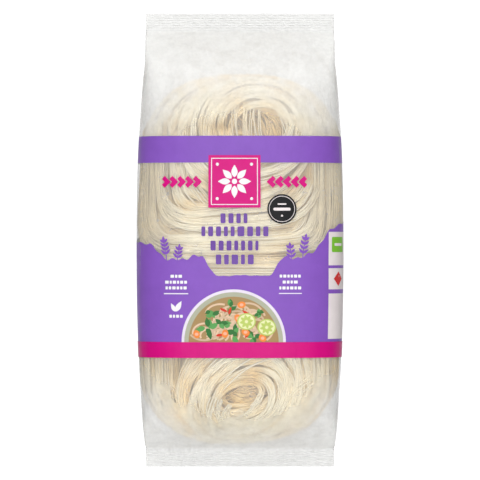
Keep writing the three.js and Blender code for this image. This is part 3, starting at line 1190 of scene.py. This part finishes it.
# A simple bowl of noodles, seen from above and cut off by the stripe. Things in it are placed by
# their distance and direction from its middle, and a bunch of leaves has a length as well.
bowl = {
    "x": -3.7,
    "y": -58.8,
    "radius": 30.4,
    "rim": 1.6,
    "wall": 2.6,
    "seed": 12,
    "noodles": 90,
    "bunches": (
        (17, 152, 9), (13, 122, 8), (21, 128, 7), (5, 80, 8), (20, 96, 7), (22, 50, 6), (12, 10, 8),
    ),
    "carrots": ((22, 168), (9, 40), (22, 78), (17, 8), (7, 135), (14, 80)),
    "chillies": ((11, 160), (18, 60), (21, 112), (7, 20), (16, 100)),
    "limes": ((14, 58), (21, 24)),
    "white": (0.74, 0.68, 0.78),
    "clay": (0.4, 0.41, 0.31),
    "broth": (0.36, 0.235, 0.1),
    "noodle": (0.7, 0.51, 0.35),
    "darkLeaf": (0.035, 0.16, 0.04),
    "paleLeaf": (0.1, 0.33, 0.09),
    "rind": (0.46, 0.56, 0.13),
    "flesh": (0.74, 0.76, 0.42),
    "carrot": (0.8, 0.24, 0.05),
    "carrotHeart": (0.85, 0.42, 0.28),
    "chilli": (0.62, 0.04, 0.02),
}


def inBowl(away, heading):
    return polar(bowl["x"], bowl["y"], away, heading)


def halfDisc(radius):
    return ellipse(bowl["x"], bowl["y"], radius, end=180, points=60)


def cutAbove(outline, level):  # the part of a rounded shape above a level line
    kept = []
    for (ax, ay), (bx, by) in zip(outline, outline[1:] + outline[:1]):
        if ay >= level:
            kept.append((ax, ay))
        if (ay - level) * (by - level) < 0:
            kept.append((mix(ax, bx, (level - ay) / (by - ay)), level))
    return kept


def limeWheel(x, y, radius):
    shapes = [(ellipse(x, y, radius, radius * 0.9), bowl["rind"], 9)]
    shapes.append((ellipse(x, y, radius * 0.86, radius * 0.77), bowl["flesh"], 10))
    for segment in range(8):
        heading = 45 * segment + 10
        start = polar(x, y, 0.14 * radius, heading)
        shapes.append((leaf(*start, radius * 0.62, radius * 0.34, heading), bowl["rind"], 11))
    return shapes


def bowlNoodles(rng, inner):
    shapes = []
    for order in range(bowl["noodles"]):
        x, y = inBowl(rng.uniform(2, inner - 5), rng.uniform(8, 172))
        reach = rng.uniform(4, 10)
        angles = np.radians(rng.uniform(0, 360) + np.linspace(0, rng.uniform(80, 190), 15))
        line = np.stack([x + reach * np.cos(angles), y + reach * 0.75 * np.sin(angles)], axis=1)
        away = np.hypot(line[:, 0] - bowl["x"], line[:, 1] - bowl["y"])
        tint = rng.uniform(0.78, 1.06)
        if line[:, 1].min() > bowl["y"] + 0.7 and away.max() < inner - 0.7:
            colour = tuple(tint * value for value in bowl["noodle"])
            shapes.append((curvedStrip(line, 1.1), colour, 3 + order / bowl["noodles"]))
    return shapes


def bowlShapes():
    rng = np.random.default_rng(bowl["seed"])
    inner = bowl["radius"] - bowl["rim"] - bowl["wall"]
    shapes = [
        (halfDisc(bowl["radius"]), bowl["white"], 0),
        (halfDisc(bowl["radius"] - bowl["rim"]), bowl["clay"], 1),
        (halfDisc(inner), bowl["broth"], 2),
        *bowlNoodles(rng, inner),
    ]
    for away, heading, length in bowl["bunches"]:
        x, y = inBowl(away, heading)
        for index in range(7):
            colour = bowl["paleLeaf"] if index % 2 else bowl["darkLeaf"]
            place = (x + rng.uniform(-1.5, 1.5), y + rng.uniform(-1.5, 1.5))
            outline = leaf(*place, length * rng.uniform(0.45, 0.7), length * 0.34, rng.uniform(0, 360))
            shapes.append((outline, colour, 5 + index * 0.2))
    for spot in bowl["carrots"]:
        place = inBowl(*spot)
        shapes.append((ellipse(*place, 2.4, 1.9, turn=rng.uniform(0, 3)), bowl["carrot"], 7))
        shapes.append((ellipse(*place, 1.1, 0.9, points=16), bowl["carrotHeart"], 8))
    for spot in bowl["chillies"]:
        shapes.append((leaf(*inBowl(*spot), 5.0, 1.6, rng.uniform(0, 360)), bowl["chilli"], 6.6))
    for spot in bowl["limes"]:
        shapes += limeWheel(*inBowl(*spot), 5.4)
    kept = [(cutAbove(outline, bowl["y"]), colour, layer) for outline, colour, layer in shapes]
    return [shape for shape in kept if len(shape[0]) > 2]


printPiece("bowl_picture", bowlShapes(), "picture", level=1.5)
print("bowl printed")

# The plain label boxes that run on round the right side, and the panel on the back.
sidePanel = {
    "left": float(roundAt(51.2)),
    "right": 84.0,
    "boxes": [(-14.6, 4.7), (-28.5, -16.3), (-57.1, -30.9)],
    "green": (0.2, 0.5, 0.04),
    "red": (0.6, 0.03, 0.03),
    "squareWidth": 11.0,
}
backPanel = {"inset": 104.0, "bottom": -46.0, "top": 34.0, "rowPitch": 4.6, "seed": 9}
backLook = {"height": 1.5, "gap": 1.0, "radius": 0.4, "uneven": 0.4}


def sideMarks():
    left = sidePanel["left"] + 2.2
    right = left + sidePanel["squareWidth"]
    middle = (left + right) / 2
    corners = [(middle - 4, -22.4), (middle, -26.6), (middle + 4, -22.4), (middle, -18.2)]
    return [
        (roundedBar(left, -7.0, right, 1.8, 0.8), sidePanel["green"], 0),
        (roundedBar(left + 2, -3.4, right - 2, -1.8, 0.5), inks["paper"][0], 1),
        (corners, sidePanel["red"], 0),
    ]


def backBlocks():
    rng = np.random.default_rng(backPanel["seed"])
    left, right = backPanel["inset"] + 5, girth - backPanel["inset"] - 5
    shapes = []
    for row in range(int((backPanel["top"] - backPanel["bottom"]) / backPanel["rowPitch"]) - 1):
        y = backPanel["top"] - backPanel["rowPitch"] * (row + 1)
        end = right if rng.random() < 0.7 else mix(left, right, rng.uniform(0.4, 0.8))
        shapes += blockRows(rng, [(left, end, y, max(3, round((end - left) / 9)))], backLook)
    return shapes


panels = [rectangle(sidePanel["left"], low, sidePanel["right"], high) for low, high in sidePanel["boxes"]]
backSides = (backPanel["inset"], backPanel["bottom"], girth - backPanel["inset"], backPanel["top"])
printPiece("pale_panels", [*panels, roundedBar(*backSides, 3.0)], "paper", level=2)
printPiece("side_marks", sideMarks(), "picture", level=3)
printPiece("back_rows", backBlocks(), "title", level=3)
print("sides and back printed")

# Floor, lights and camera
studio = {
    "worldStrength": 0.1,
    "floorColour": (0.22, 0.22, 0.22, 1),
    "floorGlow": 1.0,  # keeps the floor an even white in the picture and in reflections
    "floorHalf": 6000,
    "floorHeight": -0.5,
    "lampDistance": 2.6,
    "lampSize": 1.4,
    "lamps": [  # each with its compass angle, its tilt off vertical and its power
        ("overLeft", 150, 14, 27.5),
        ("overRight", 20, 14, 24.0),
        ("beyondTop", 92, 58, 33.0),
        ("beyondBottom", 268, 58, 30.0),
    ],
    "lens": 280.0,
    "sensor": 36.0,
    "frameWidth": 0.2796,  # of the view at the height where the bag is widest
    "widestHeight": 0.024,
}


def makeFloor():
    material, tree, shader = newMaterial("paleFloor")
    light = addNode(tree, "ShaderNodeLightPath", (-900, -300)).outputs
    seen = calculate(tree, "ADD", (-650, -300), light["Is Camera Ray"], light["Is Glossy Ray"])
    values = {"Base Color": studio["floorColour"], "Specular IOR Level": 0.0}
    values["Roughness"] = addMottle(tree, (-400, 0), 0.05, 0.75, 0.85)
    values["Emission Color"] = (1, 1, 1, 1)
    values["Emission Strength"] = calculate(tree, "MULTIPLY", (-400, -300), seen, studio["floorGlow"])
    feed(tree, shader, values)
    corners = rectangle(*squareSides(0, 0, studio["floorHalf"]))
    vertices = [(*corner, studio["floorHeight"]) for corner in corners]
    makePiece("floor", vertices, [(0, 1, 2, 3)], material)


def makeStudio():
    scene = bpy.context.scene
    scene.world = bpy.data.worlds.new("paleStudio")
    scene.world.use_nodes = True
    background = scene.world.node_tree.nodes["Background"]
    feed(scene.world.node_tree, background, {"Color": (1, 1, 1, 1), "Strength": studio["worldStrength"]})
    for name, azimuth, lean, power in studio["lamps"]:
        light = bpy.data.lights.new(name, "AREA")
        light.size = studio["lampSize"]
        light.energy = power
        lamp = bpy.data.objects.new(name, light)
        tilt, turn = math.radians(lean), math.radians(azimuth)
        way = Vector((math.sin(tilt) * math.cos(turn), math.sin(tilt) * math.sin(turn), math.cos(tilt)))
        lamp.location = way * studio["lampDistance"]
        lamp.rotation_euler = (-way).to_track_quat("-Z", "Y").to_euler()
        scene.collection.objects.link(lamp)
    data = bpy.data.cameras.new("photo")
    data.lens, data.sensor_width = studio["lens"], studio["sensor"]
    camera = bpy.data.objects.new("photo", data)
    away = studio["frameWidth"] * studio["lens"] / studio["sensor"]
    camera.location = (0, 0, studio["widestHeight"] + away)
    scene.collection.objects.link(camera)
    scene.camera = camera
    scene.view_settings.view_transform = "Standard"


makeFloor()
makeStudio()
